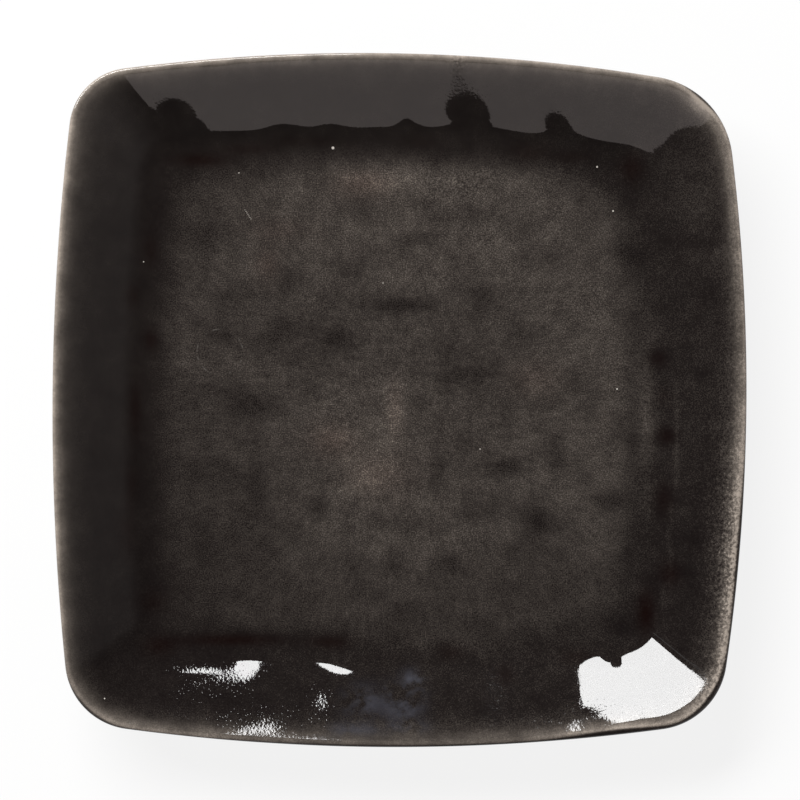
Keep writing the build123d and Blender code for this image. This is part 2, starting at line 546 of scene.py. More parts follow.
# Where small pits in the glaze fray the edges of reflections
PITTED_MARKS = [
    Mark(200, 674, 30, 10, 1.0),
    Mark(238, 674, 20, 14, 0.7),
    Mark(262, 722, 40, 12, 0.8),
    Mark(322, 702, 10, 12, 0.7),
    Mark(205, 690, 26, 9, 0.5),
    Mark(592, 714, 26, 12, 0.7),
    Mark(560, 723, 30, 8, 0.5),
    Mark(160, 100, 9, 7, 0.25),
    Mark(218, 133, 16, 7, 0.4),
    Mark(464, 90, 26, 9, 0.4),
    Mark(458, 72, 7, 18, 1.0),
    Mark(552, 112, 14, 6, 0.25),
]
ALL_OVER_PITS = 0.06

# Painted shade: how much further in, in millimetres, the near-black of the lip's outside is carried over
# its edge, for the dark line the lip mirrors from the plate's shadow on the floor
PAINTED_SHADOW_EDGES = [
    Mark(742, 560, 40, 130, 1.7),
    Mark(706, 98, 30, 24, 1.5),
    Mark(715, 705, 40, 45, 2.4),
    Mark(625, 742, 60, 30, 2.6),
    Mark(380, 748, 260, 30, 1.3),
    Mark(85, 712, 50, 40, 1.4),
]

# Long low waves in the slab: how many, their lengths, and the height of each
WAVES = 26
WAVE_LENGTHS = (22 * MM, 75 * MM)
WAVE_HEIGHT = 0.009 * MM
WAVE_SEED = 7


def marks_at(places, marks):
    """Sum of soft oval marks at each place."""
    total = np.zeros(places.shape)
    for mark in marks:
        away = places - on_plate(mark.x, mark.y)
        across = away.real / (mark.half_width * PIXEL)
        along = away.imag / (mark.half_height * PIXEL)
        total += mark.strength * np.exp(-(across**2) - along**2)
    return total


def slow_waves(places):
    """Long low waves left in the slab by pressing and drying."""
    draw = np.random.default_rng(WAVE_SEED)
    total = np.zeros(places.shape)
    for _ in range(WAVES):
        length = draw.uniform(*WAVE_LENGTHS)
        heading = np.exp(1j * draw.uniform(0, 2 * pi))
        phase = draw.uniform(0, 2 * pi)
        along = (places * heading).real
        total += np.sin(2 * pi * along / length + phase)
    return WAVE_HEIGHT * total


# Skin: the whole outer surface, from under the floor, over the lip, to the middle of the face


THUMB_DEPTH = 0.06 * MM
BARE = ""

# Where the lip's thin coat begins on the lip's back, and where it ends on the face
LIP_BREAK_TURN = -70.0
LIP_BREAK_INSET = 6.2 * MM

# The line to which the underside's glaze is wiped back, on either side of the foot ring
GLAZE_LINE_GAP = 1.3 * MM
GLAZE_LINE_WANDER = 0.5 * MM
GLAZE_SWELL_WIDTH = 1.2 * MM
INNER_LINE_SEED = 11
OUTER_LINE_SEED = 12

# Underside glaze behind its wiped edge: share of the swell's width, share of the full thickness
EDGE_SWELL = [(0.0, 0.2), (0.4, 0.8), (1.0, 1.0)]

# Waves to a round of the plate, in a wobble made by hand
WOBBLE_WAVES = (3, 7, 13, 22, 37)


class Row(NamedTuple):
    """One ring of the clay: points, heights, section inset, lip turn, glaze and coat of the next strip."""

    places: np.ndarray
    height: np.ndarray
    inset: float
    turn: float
    glaze: float
    coat: str


def wander(seed):
    """Slow wobble round the plate, between -1 and 1 or so, for what is wiped or pressed by hand."""
    draw = np.random.default_rng(seed)
    angle = np.arange(COLUMNS) / COLUMNS * 2 * pi
    total = np.zeros(COLUMNS)
    for wave in WOBBLE_WAVES:
        total += np.sin(wave * angle + draw.uniform(0, 2 * pi)) / wave**0.5
    return total


def wandering(row, wobble):
    """The row's points moved in or out by a wobble."""
    inwards = -row / abs(row)
    return row + inwards * wobble


def skin_rows():
    """Rings of the clay from the recess under the floor, round the lip, to the edge of the floor."""
    rows = []

    def add(placed, inset, turn, glaze, coat):
        places, height = placed
        rows.append(Row(places, np.full(COLUMNS, height), inset, turn, glaze, coat))

    def glaze_line(inset, outwards, seed, coat):
        places, height = floor_ring(inset)
        wobble = GLAZE_LINE_WANDER * wander(seed)
        for across, share in EDGE_SWELL if outwards else reversed(EDGE_SWELL):
            move = across * GLAZE_SWELL_WIDTH * (-1 if outwards else 1)
            moved = wandering(places, wobble + move)
            add((moved, height), inset, BACK_TURN, share * UNDERSIDE_GLAZE, coat)

    # The last row of the recess's glaze begins the bare strip that runs under the foot ring
    glaze_line(FOOT_INNER_INSET + GLAZE_LINE_GAP, False, INNER_LINE_SEED, "foot_recess_glaze")
    rows[-1] = rows[-1]._replace(coat=BARE)
    for inset in (FOOT_INNER_INSET, FOOT_OUTER_INSET):
        add(floor_ring(inset), inset, BACK_TURN, 0, BARE)
    glaze_line(FOOT_OUTER_INSET - GLAZE_LINE_GAP, True, OUTER_LINE_SEED, "underside_glaze")

    for station in reversed(STATIONS[1:]):
        thickness = mix(LIP_THICKNESS, FLOOR_THICKNESS, station.share)
        glaze = mix(LIP_GLAZE, UNDERSIDE_GLAZE, station.share)
        add(wall_ring(station, -thickness), station.inset, BACK_TURN, glaze, "underside_glaze")
    for step in range(LIP_STEPS + 1):
        turn = mix(BACK_TURN, FACE_TURN, step / LIP_STEPS)
        coat = "underside_glaze" if turn < LIP_BREAK_TURN else "lip_glaze"
        places, height, inset = lip_ring(turn)
        add((places, height), inset, turn, LIP_GLAZE, coat)
    for station in STATIONS[1:]:
        glaze = mix(LIP_GLAZE, FACE_GLAZE, station.share)
        coat = "lip_glaze" if station.inset < LIP_BREAK_INSET else "face_glaze"
        add(wall_ring(station, 0), station.inset, FACE_TURN, glaze, coat)
    return rows


class Skin(NamedTuple):
    """A closed surface: points, quads, each quad's coat, and each point's glaze, inset and lip turn."""

    points: np.ndarray
    quads: np.ndarray
    coats: np.ndarray
    glaze: np.ndarray
    inset: np.ndarray
    turn: np.ndarray


def ring_quads(first, second):
    """Quads between two rings of points, from the numbers of their first points."""
    here = np.arange(COLUMNS)
    following = (here + 1) % COLUMNS
    return np.stack([first + here, first + following, second + following, second + here], -1)


def patch_grid(ring_start, inner_start):
    """Point numbers of a square grid bordered by a whole ring, its corners amid the ring's corners."""
    size = PATCH_SIZE
    first = SIDE_COLUMNS + CORNER_COLUMNS // 2 - size
    border = ring_start + (first + np.arange(COLUMNS)) % COLUMNS
    grid = np.zeros((size + 1, size + 1), int)
    grid[1:-1, 1:-1] = inner_start + np.arange(PATCH_INNER_POINTS).reshape(size - 1, size - 1)
    grid[size, :size] = border[:size]
    grid[size - np.arange(size), size] = border[size:2 * size]
    grid[0, size - np.arange(size)] = border[2 * size:3 * size]
    grid[np.arange(size), 0] = border[3 * size:]
    return grid


def fill_patch(values, grid):
    """Sets the grid's inner points by blending its four borders."""
    share = np.arange(1, PATCH_SIZE) / PATCH_SIZE
    across = share[None, :]
    along = share[:, None]
    edge = values[grid]
    sides = mix(edge[1:-1, :1], edge[1:-1, -1:], across) + mix(edge[:1, 1:-1], edge[-1:, 1:-1], along)
    start = mix(edge[0, 0], edge[0, -1], across)
    end = mix(edge[-1, 0], edge[-1, -1], across)
    values[grid[1:-1, 1:-1]] = sides - mix(start, end, along)


def grid_quads(grid):
    """Quads of a grid of point numbers."""
    return np.stack([grid[:-1, :-1], grid[:-1, 1:], grid[1:, 1:], grid[1:, :-1]], -1).reshape(-1, 4)


def clay_lift(places, height, inset, turn):
    """How far the hand-pressed clay rises over its even section, fading to nothing at the foot."""
    rolled = np.clip(1 - inset / ROLL_WIDTH, 0, 1) ** 2
    lift = slow_waves(places) + marks_at(places, SWELLS) * MM
    lift -= marks_at(places, ROLLED_LIP) * MM * rolled
    lift -= THUMB_DEPTH * marks_at(places, THUMB_MARKS) * (turn >= FACE_TURN)
    return lift * smooth_step(FOOT_HEIGHT, FLOOR_HEIGHT, height)


def clay_skin():
    """The clay's own closed surface, uneven, with what the glaze needs to know at each point."""
    rows = skin_rows()
    ring_points = len(rows) * COLUMNS
    count = ring_points + 2 * PATCH_INNER_POINTS
    places = np.zeros(count, complex)
    height = np.zeros(count)
    glaze = np.zeros(count)
    inset = np.zeros(count)
    turn = np.zeros(count)
    for number, row in enumerate(rows):
        span = slice(number * COLUMNS, (number + 1) * COLUMNS)
        places[span] = row.places
        height[span] = row.height
        glaze[span] = row.glaze
        inset[span] = row.inset
        turn[span] = row.turn

    quads = []
    coats = []
    for number, row in enumerate(rows[:-1]):
        quads.append(ring_quads(number * COLUMNS, (number + 1) * COLUMNS))
        coats += [row.coat] * COLUMNS

    recess = patch_grid(0, ring_points)
    floor = patch_grid(ring_points - COLUMNS, ring_points + PATCH_INNER_POINTS)
    for grid in (recess, floor):
        for values in (places, height, glaze, inset, turn):
            fill_patch(values, grid)
    quads.append(grid_quads(recess))
    coats += ["foot_recess_glaze"] * len(quads[-1])
    quads.append(grid_quads(floor)[:, ::-1])
    coats += ["face_glaze"] * len(quads[-1])

    inner_floor = floor[1:-1, 1:-1].ravel()
    inset[inner_floor] = inset_of(places[inner_floor], WELL_INSET + WELL_CORNER_RADIUS)
    height += clay_lift(places, height, inset, turn)
    points = np.stack([places.real, places.imag, height], -1)
    return Skin(points, np.concatenate(quads), np.array(coats), glaze, inset, turn)


def point_normals(points, quads):
    """Smooth normals of a quad mesh."""
    a, b, c, d = (points[quads[:, i]] for i in range(4))
    normals = np.cross(c - a, d - b)
    total = np.zeros(points.shape)
    for i in range(4):
        np.add.at(total, quads[:, i], normals)
    return total / np.linalg.norm(total, axis=1, keepdims=True)


# Inset from the lip's edge in millimetres, and how deep the glaze looks there:
# 0 shows the bare clay's colour, 4 is near black
FACE_DEPTHS = [
    (-1.3, 3.2), (-0.75, 2.5), (-0.35, 0.9), (0.0, 0.15), (0.8, 0.2), (1.25, 0.52), (1.75, 0.88),
    (2.5, 1.05), (3.5, 1.4), (4.5, 1.9), (5.5, 2.28), (7.0, 2.7), (9.0, 3.05), (11.5, 3.4), (15.0, 3.65),
    (28.0, 3.6), (35.0, 3.5), (39.0, 3.2), (43.0, 2.7), (47.0, 2.35), (52.0, 2.15), (60.0, 2.15),
]
OUTSIDE_DEPTH = 3.4

# Turns of the lip over which the face's looks give way to the plain glaze of its back
FACE_LOOKS_TURNS = (-75, -40)

# How far fine grain shows on the smooth far left rims and on the lip, and where it fades
NEAR_RIGHT = -pi / 4
SMOOTH_SIDE_GRAIN = 0.2
SMOOTH_SIDE_FADE = (-0.6, 0.3)
LIP_GRAIN = 0.35
LIP_GRAIN_FADE = (3 * MM, 9 * MM)
FLOOR_GRAIN_FADE = (32 * MM, 46 * MM)

# How far coarse sand shows all round the lip, and where it fades
LIP_SPECKLE = 0.12
LIP_SPECKLE_FADE = (2 * MM, 6 * MM)


def seen_places(points):
    """Where the camera sees points against the level of the lip's middle, as x + iy."""
    below_camera = LIP_MIDDLE_HEIGHT + CAMERA_HEIGHT - points[:, 2]
    return (points[:, 0] + 1j * points[:, 1]) * CAMERA_HEIGHT / below_camera


def face_share(skin):
    """1 where the face's looks show, down to 0 on the lip's back."""
    return smooth_step(*FACE_LOOKS_TURNS, skin.turn)


def eye_depth(skin, places):
    """How deep the glaze looks at each point, with painted shade at the lip's edges and painted reflections
    at two rims.
    """
    from_edge = np.where(skin.turn > -RIM_ANGLE, skin.inset, LIP_GLAZE) / MM
    inset, depth = zip(*FACE_DEPTHS)
    # Painted shade: the lip's edge is darkened where it would mirror the plate's shadow on the floor
    face = np.interp(from_edge - marks_at(places, PAINTED_SHADOW_EDGES), inset, depth)
    face += THUMB_CONTRAST * marks_at(places, THUMB_MARKS)
    # The drifts hold painted reflections at the far left rim and the back right corner
    face += marks_at(places, DRIFTS_AND_PAINTED_REFLECTIONS + RIGHT_BLOTCHES + PALE_RIDGE)
    face += POOLED_DEPTH * marks_at(places, POOLED_MARKS)
    return mix(OUTSIDE_DEPTH, face, face_share(skin))


def fine_grain(skin, places):
    """How far fine salt grain shows: fully on the floor and near right rims, little at the far left."""
    towards_near_right = np.cos(np.angle(places) - NEAR_RIGHT)
    rim = mix(SMOOTH_SIDE_GRAIN, 1.0, smooth_step(*SMOOTH_SIDE_FADE, towards_near_right))
    rim *= mix(LIP_GRAIN, 1.0, smooth_step(*LIP_GRAIN_FADE, skin.inset))
    return mix(rim, 1.0, smooth_step(*FLOOR_GRAIN_FADE, skin.inset))


def coarse_speckle(skin, places):
    """How far the clay's coarse sand shows through the glaze."""
    near_lip = 1 - smooth_step(*LIP_SPECKLE_FADE, skin.inset)
    return np.clip(LIP_SPECKLE * near_lip + marks_at(places, SPECKLED_MARKS), 0, 1)


def glaze_looks(skin):
    """What the glaze's shader takes from each point, by name."""
    places = seen_places(skin.points)

    def shown(marks, everywhere=0):
        return np.clip(everywhere + marks_at(places, marks), 0, 1) * face_share(skin)

    return {
        # depth holds painted shade at the lip's edges and painted reflections at two rims, besides the
        # glaze's own look
        "depth": eye_depth(skin, places),
        "grain": fine_grain(skin, places),
        "speckle": coarse_speckle(skin, places),
        "warmth": shown(WARM_MARKS),
        "rust": shown(POOLED_MARKS),
        # Painted reflection mask for the near rim's blue patches
        "painted_reflection": shown(PAINTED_REFLECTION_MARKS),
        "pits": shown(PITTED_MARKS, ALL_OVER_PITS),
    }


# Pieces


FOOT_WANDER = 0.12 * MM
FOOT_SEED = 13

# Keeps a wall of no size from a division by nothing
TINY = 1e-12


def add_mesh(name, points, quads, normals, attributes):
    """A mesh object whose faces take their shading from given normals, one for each corner."""
    mesh = bpy.data.meshes.new(name)
    mesh.from_pydata(points.tolist(), [], quads.tolist())
    mesh.polygons.foreach_set("use_smooth", np.ones(len(quads), bool))
    mesh.normals_split_custom_set(normals.reshape(-1, 3).tolist())
    for key, values in attributes.items():
        mesh.attributes.new(key, "FLOAT", "POINT").data.foreach_set("value", values)
    piece = bpy.data.objects.new(name, mesh)
    bpy.context.scene.collection.objects.link(piece)
    return piece


def border_edges(quads):
    """Edges that only one quad uses, in that quad's direction."""
    edges = np.concatenate([quads[:, [i, (i + 1) % 4]] for i in range(4)])
    key = np.sort(edges, 1)
    _, first, count = np.unique(key, axis=0, return_index=True, return_counts=True)
    return edges[first[count == 1]]


def glaze_coat(name, outer, under, quads, normals, attributes):
    """Closed coat of glaze: its outer face, its face on the clay, and the walls round its edges."""
    used, local = np.unique(quads, return_inverse=True)
    local = local.reshape(-1, 4)
    count = len(used)
    walls = border_edges(local)
    wall_quads = np.stack([walls[:, 1], walls[:, 0], walls[:, 0] + count, walls[:, 1] + count], -1)
    points = np.concatenate([outer[used], under[used]])
    faces = np.concatenate([local, local[:, ::-1] + count, wall_quads])
    both = np.concatenate([normals[used], -normals[used]])
    corner_normals = both[faces]
    a, b, c = (points[wall_quads[:, i]] for i in range(3))
    flat = np.cross(b - a, c - a)
    flat /= np.linalg.norm(flat, axis=1, keepdims=True) + TINY
    corner_normals[-len(wall_quads):] = flat[:, None, :]
    doubled = {key: np.tile(values[used], 2) for key, values in attributes.items()}
    return add_mesh(name, points, faces, corner_normals, doubled)


def foot_ring_mesh():
    """Luted ring of bare clay: upright walls, rounded edges and a flat tread."""
    width = FOOT_INNER_INSET - FOOT_OUTER_INSET
    radius = FOOT_EDGE_RADIUS
    section = [(0, FOOT_HEIGHT), (0, mix(radius, FOOT_HEIGHT, 0.5))]
    for step in range(FOOT_EDGE_STEPS + 1):
        turn = step / FOOT_EDGE_STEPS * pi / 2
        section.append((radius * (1 - cos(turn)), radius * (1 - sin(turn))))
    section += [(width - across, height) for across, height in reversed(section)]
    wobble = FOOT_WANDER * wander(FOOT_SEED)
    rows = []
    for across, height in section:
        places, _ = floor_ring(FOOT_OUTER_INSET + across)
        places = wandering(places, wobble * smooth_step(0, radius, height))
        rows.append(np.stack([places.real, places.imag, np.full(COLUMNS, height)], -1))
    starts = np.arange(len(rows)) * COLUMNS
    quads = [ring_quads(second, first) for first, second in zip(starts, np.roll(starts, -1))]
    return np.concatenate(rows), np.concatenate(quads)


# Materials


# A noise texture gives mostly 0.25 to 0.75, which this spreads to about -1 to 1
NOISE_SPREAD = 4.0

# The floor is below the lip, so a place on it lies this much further out than the camera sees it
FLOOR_SCALE = 1 + (LIP_MIDDLE_HEIGHT - FLOOR_HEIGHT) / CAMERA_HEIGHT

# Sockets of a mix node that mixes colours
MIX_SHARE = 0
MIX_FIRST = 6
MIX_SECOND = 7
MIX_RESULT = 2


def new_material(name):
    """A material with its own nodes."""
    material = bpy.data.materials.new(name)
    material.use_nodes = True
    return material


class Shader:
    """A node tree of a material or world, built a node at a time."""

    def __init__(self, owner):
        self.tree = owner.node_tree
        self.surface = self.tree.nodes.get("Principled BSDF")
        coordinates = self.node("ShaderNodeTexCoord").outputs
        self.places = coordinates["Object"]
        self.generated = coordinates["Generated"]

    def feed(self, socket, value):
        """Links a socket to another, or sets its value."""
        if isinstance(value, bpy.types.NodeSocket):
            self.tree.links.new(value, socket)
        else:
            socket.default_value = value

    def node(self, kind, inputs=(), **settings):
        """A node with these settings, and its first inputs fed in order."""
        made = self.tree.nodes.new(kind)
        for key, value in settings.items():
            setattr(made, key, value)
        for socket, value in zip(made.inputs, inputs):
            self.feed(socket, value)
        return made

    def math(self, operation, *values):
        """The outcome of one operation on values or sockets."""
        return self.node("ShaderNodeMath", values, operation=operation).outputs[0]

    def attribute(self, name):
        """A value that the mesh holds at each point."""
        return self.node("ShaderNodeAttribute", attribute_name=name).outputs["Fac"]

    def noise(self, size, detail=2.0, roughness=0.6):
        """Soft noise about 0, within -1 and 1 or so, with lumps of this size in metres."""
        made = self.node("ShaderNodeTexNoise")
        self.feed(made.inputs["Vector"], self.places)
        self.feed(made.inputs["Scale"], 1 / size)
        self.feed(made.inputs["Detail"], detail)
        self.feed(made.inputs["Roughness"], roughness)
        return self.math("MULTIPLY_ADD", made.outputs["Fac"], NOISE_SPREAD, -NOISE_SPREAD / 2)

    def scattered(self, spacing):
        """Distance from the nearest of many scattered points, as a share of their spacing."""
        cells = self.node("ShaderNodeTexVoronoi")
        self.feed(cells.inputs["Vector"], self.places)
        self.feed(cells.inputs["Scale"], 1 / spacing)
        return cells.outputs["Distance"]

    def away_from(self, pixel):
        """How far each place is, seen from above, from a pixel of the photograph on the floor."""
        place = on_plate(*pixel) * FLOOR_SCALE
        middle = (place.real, place.imag, 0)
        flat = self.node("ShaderNodeVectorMath", (self.places, (1, 1, 0)), operation="MULTIPLY").outputs[0]
        return self.node("ShaderNodeVectorMath", (flat, middle), operation="DISTANCE").outputs["Value"]

    def remap(self, value, low, high, start, end):
        """Value from low to high, turned smoothly into start to end."""
        made = self.node("ShaderNodeMapRange", (value, low, high, start, end))
        made.interpolation_type = "SMOOTHSTEP"
        return made.outputs["Result"]

    def blend(self, share, first, second):
        """Colour between two others."""
        made = self.node("ShaderNodeMix", data_type="RGBA")
        self.feed(made.inputs[MIX_SHARE], share)
        self.feed(made.inputs[MIX_FIRST], first)
        self.feed(made.inputs[MIX_SECOND], second)
        return made.outputs[MIX_RESULT]

    def bump(self, height):
        """Surface bumped by a height in metres."""
        made = self.node("ShaderNodeBump")
        self.feed(made.inputs["Strength"], 1.0)
        self.feed(made.inputs["Distance"], 1.0)
        self.feed(made.inputs["Height"], height)
        self.feed(self.surface.inputs["Normal"], made.outputs["Normal"])


# Colours of the glaze and of what shows through it or in it
CLAY_SEEN = (0.36, 0.31, 0.265, 1)
WARM_CLAY = (0.44, 0.295, 0.235, 1)
GLAZE_DARK = (0.0045, 0.0029, 0.0031, 1)
GLAZE_RUST = (0.0046, 0.001, 0.0008, 1)
# Painted reflection: the bluish glow the near rim mirrors from beside the softbox
PAINTED_REFLECTION_BLUE = (0.11, 0.115, 0.145, 1)
SPECK = (0.62, 0.58, 0.53, 1)

# Size of each unevenness in the glaze, and how much deeper or thinner it makes the glaze look
CLOUD_SIZE = 9 * MM
CLOUD_DEPTH = 0.4
MOTTLE_SIZE = 2.2 * MM
MOTTLE_DEPTH = 0.3
GRAIN_SIZE = 0.5 * MM
GRAIN_DEPTH = 1.3
SAND_SIZE = 1.2 * MM
SAND_DEPTH = 1.3

# How strong the painted blue reflection is, and between which clouds it comes and goes
PAINTED_REFLECTION_SHARE = 0.5
PAINTED_REFLECTION_CLOUDS = (-0.6, 0.6)

# Pale specks in the glaze: the pixel of the photograph and the radius of each
SPECKS = [
    ((333, 148), 0.5 * MM), ((597, 167), 0.35 * MM), ((613, 211), 0.3 * MM), ((617, 389), 0.3 * MM),
    ((108, 695), 0.26 * MM), ((144, 262), 0.23 * MM), ((480, 449), 0.23 * MM), ((239, 173), 0.21 * MM),
    ((383, 283), 0.19 * MM),
]

# Where a speck's edge begins and ends, as shares of its radius
SPECK_EDGE = (0.6, 1.4)

# A short scratch: a row of small specks down from one pixel of the photograph
SCRATCH_TOP_X = 245
SCRATCH_TOP_Y = 210
SCRATCH_SLOPE = 1.5
SCRATCH_SPECKS = 7
SCRATCH_RADIUS = 0.13 * MM
SCRATCH = [
    ((SCRATCH_TOP_X + step, SCRATCH_TOP_Y + SCRATCH_SLOPE * step), SCRATCH_RADIUS)
    for step in range(SCRATCH_SPECKS)
]

# A faint ring worn into the floor, broken by the mottle: its middle's pixel, radius, line and strength
WEAR_RING = (220, 352)
WEAR_RING_RADIUS = 9 * MM
WEAR_LINE = 0.45 * MM
WEAR_STRENGTH = 0.11
WEAR_MOTTLE = (-0.1, 0.5)

# Gloss of the glaze, duller in its clouds and where it is sandy
GLAZE_ROUGHNESS = 0.022
CLOUD_ROUGHNESS = 0.006
SAND_ROUGHNESS = 0.1
GLAZE_INDEX = 1.5

# Fine relief of the glaze: its orange peel, its sand, and small pits and burst bubbles
PEEL_SIZE = 1.2 * MM
PEEL_HEIGHT = 0.0007 * MM
SAND_HEIGHT = 0.009 * MM
PIT_SIZE = 1.0 * MM
PIT_DEPTH = 0.004 * MM
PINHOLE_SPACING = 1.3 * MM
PINHOLE_RADIUS = 0.2
PINHOLE_DEPTH = 0.02 * MM


def glaze_colour(shader, clouds, mottle, sand):
    """Colour of the glaze, from how deep it lies over the clay and the painted shade in that depth, with a
    painted blue reflection on the near rim.
    """
    grainy = shader.attribute("grain")
    unevenness = [
        (clouds, CLOUD_DEPTH),
        (mottle, shader.math("MULTIPLY", grainy, MOTTLE_DEPTH)),
        (shader.noise(GRAIN_SIZE), shader.math("MULTIPLY", grainy, GRAIN_DEPTH)),
        (sand, shader.math("MULTIPLY", shader.attribute("speckle"), SAND_DEPTH)),
    ]
    seen = shader.attribute("depth")
    for noise, amount in unevenness:
        seen = shader.math("MULTIPLY_ADD", noise, amount, seen)
    seen = shader.math("MAXIMUM", seen, 0.0)
    clay_share = shader.math("EXPONENT", shader.math("MULTIPLY", seen, -1.0))
    clay = shader.blend(shader.attribute("warmth"), CLAY_SEEN, WARM_CLAY)
    dark = shader.blend(shader.attribute("rust"), GLAZE_DARK, GLAZE_RUST)
    colour = shader.blend(clay_share, dark, clay)
    # Painted reflection: the near rim's blue patches, broken up by the clouds
    cloudy = shader.remap(clouds, *PAINTED_REFLECTION_CLOUDS, 0.0, PAINTED_REFLECTION_SHARE)
    return shader.blend(shader.math("MULTIPLY", shader.attribute("painted_reflection"), cloudy), colour, PAINTED_REFLECTION_BLUE)


def with_specks(shader, colour):
    """The colour with the pale specks and the scratch on it."""
    sharp, soft = SPECK_EDGE
    for pixel, radius in SPECKS + SCRATCH:
        speck = shader.remap(shader.away_from(pixel), sharp * radius, soft * radius, 1.0, 0.0)
        colour = shader.blend(speck, colour, SPECK)
    return colour


def with_wear_ring(shader, colour, mottle):
    """The colour with the faint broken ring on it."""
    beyond_ring = shader.math("SUBTRACT", shader.away_from(WEAR_RING), WEAR_RING_RADIUS)
    off_ring = shader.math("ABSOLUTE", beyond_ring)
    line = shader.remap(off_ring, 0.0, WEAR_LINE, WEAR_STRENGTH, 0.0)
    unbroken = shader.remap(mottle, *WEAR_MOTTLE, 0.0, 1.0)
    return shader.blend(shader.math("MULTIPLY", line, unbroken), colour, SPECK)


def glaze_relief(shader, sand):
    """Height of the glaze's fine relief, in metres."""
    peel = shader.math("MULTIPLY", shader.noise(PEEL_SIZE, roughness=0.5), PEEL_HEIGHT)
    sandy = shader.math("MULTIPLY", sand, shader.math("MULTIPLY", shader.attribute("speckle"), SAND_HEIGHT))
    pinholes = shader.remap(shader.scattered(PINHOLE_SPACING), 0.0, PINHOLE_RADIUS, -PINHOLE_DEPTH, 0.0)
    uneven = shader.noise(PIT_SIZE, detail=1.0, roughness=0.5)
    pits = shader.math("MULTIPLY_ADD", uneven, PIT_DEPTH, pinholes)
    pitted = shader.math("MULTIPLY", shader.attribute("pits"), pits)
    return shader.math("ADD", shader.math("ADD", peel, sandy), pitted)


def glaze_material(name):
    """Dark glossy glaze that lets the pale clay show where it lies thin."""
    material = new_material(name)
    shader = Shader(material)
    clouds = shader.noise(CLOUD_SIZE, detail=3.0)
    mottle = shader.noise(MOTTLE_SIZE)
    sand = shader.noise(SAND_SIZE)

    colour = with_specks(shader, glaze_colour(shader, clouds, mottle, sand))
    colour = with_wear_ring(shader, colour, mottle)
    roughness = shader.math("MULTIPLY_ADD", clouds, CLOUD_ROUGHNESS, GLAZE_ROUGHNESS)
    roughness = shader.math("MULTIPLY_ADD", shader.attribute("speckle"), SAND_ROUGHNESS, roughness)
    shader.feed(shader.surface.inputs["Base Color"], colour)
    shader.feed(shader.surface.inputs["Roughness"], roughness)
    shader.feed(shader.surface.inputs["IOR"], GLAZE_INDEX)
    shader.bump(glaze_relief(shader, sand))
    return material


# Bare fired clay: its two tones, the darker sand in it and its iron specks
BARE_CLAY_BROWN = (0.40, 0.335, 0.265, 1)
BARE_CLAY_PALE = (0.56, 0.485, 0.40, 1)
BARE_TONE_SIZE = 18 * MM
BARE_TONES = (-0.8, 0.8)
BARE_SAND_COLOUR = (0.27, 0.215, 0.165, 1)
BARE_SAND_SIZE = 0.5 * MM
BARE_SAND_RANGE = (-0.9, 0.9)
BARE_SAND_SHARE = 0.35
BARE_SAND_HEIGHT = 0.02 * MM
IRON_COLOUR = (0.07, 0.045, 0.03, 1)
IRON_SPACING = 3.5 * MM
IRON_EDGE = (0.07, 0.13)
IRON_SHARE = 0.8
BARE_ROUGHNESS = 0.78
BARE_SAND_ROUGHNESS = 0.06


def stoneware_material(name):
    """Bare fired clay: sandy, a little uneven in colour, with dark iron specks."""
    material = new_material(name)
    shader = Shader(material)
    sand = shader.noise(BARE_SAND_SIZE)
    tone = shader.remap(shader.noise(BARE_TONE_SIZE, detail=4.0), *BARE_TONES, 0.0, 1.0)
    colour = shader.blend(tone, BARE_CLAY_BROWN, BARE_CLAY_PALE)
    sandy = shader.remap(sand, *BARE_SAND_RANGE, BARE_SAND_SHARE, 0.0)
    colour = shader.blend(sandy, colour, BARE_SAND_COLOUR)
    iron = shader.remap(shader.scattered(IRON_SPACING), *IRON_EDGE, IRON_SHARE, 0.0)
    colour = shader.blend(iron, colour, IRON_COLOUR)
    roughness = shader.math("MULTIPLY_ADD", sand, BARE_SAND_ROUGHNESS, BARE_ROUGHNESS)
    shader.feed(shader.surface.inputs["Base Color"], colour)
    shader.feed(shader.surface.inputs["Roughness"], roughness)
    shader.bump(shader.math("MULTIPLY", sand, BARE_SAND_HEIGHT))
    return material


# Stage: pale floor, soft studio light and the camera


FLOOR_SIZE = 9.0
FLOOR_DROP = 0.2 * MM
FLOOR_COLOUR = (0.86, 0.86, 0.855, 1)
FLOOR_ROUGHNESS = 0.9
FLOOR_WHITENING = 0.86
BACKDROP_WHITE = (1, 1, 1, 1)


def add_floor():
    """Pale floor that looks white to the camera and in reflections, but keeps the plate's shadow."""
    mesh = bpy.data.meshes.new("floor")
    half = FLOOR_SIZE / 2
    corners = [(-half, -half), (half, -half), (half, half), (-half, half)]
    mesh.from_pydata([(x, y, -FLOOR_DROP) for x, y in corners], [], [(0, 1, 2, 3)])
    floor = bpy.data.objects.new("floor", mesh)
    bpy.context.scene.collection.objects.link(floor)
    material = new_material("pale_floor")
    shader = Shader(material)
    shader.feed(shader.surface.inputs["Base Color"], FLOOR_COLOUR)
    shader.feed(shader.surface.inputs["Roughness"], FLOOR_ROUGHNESS)
    path = shader.node("ShaderNodeLightPath").outputs
    looked_at = shader.math("MAXIMUM", path["Is Camera Ray"], path["Is Glossy Ray"])
    looked_at = shader.math("MAXIMUM", looked_at, path["Is Transmission Ray"])
    white = shader.node("ShaderNodeEmission", (BACKDROP_WHITE, 1.0))
    whitening = shader.math("MULTIPLY", looked_at, FLOOR_WHITENING)
    layers = (whitening, shader.surface.outputs[0], white.outputs[0])
    mixed = shader.node("ShaderNodeMixShader", layers)
    shader.feed(shader.tree.nodes["Material Output"].inputs["Surface"], mixed.outputs[0])
    mesh.materials.append(material)


class Card(NamedTuple):
    """An upright soft light: its angle round the plate in degrees, its distance, its reach to the sides and
    in height, its radiance and its colour."""

    azimuth: float
    distance: float
    sides: tuple
    heights: tuple
    radiance: float
    colour: tuple


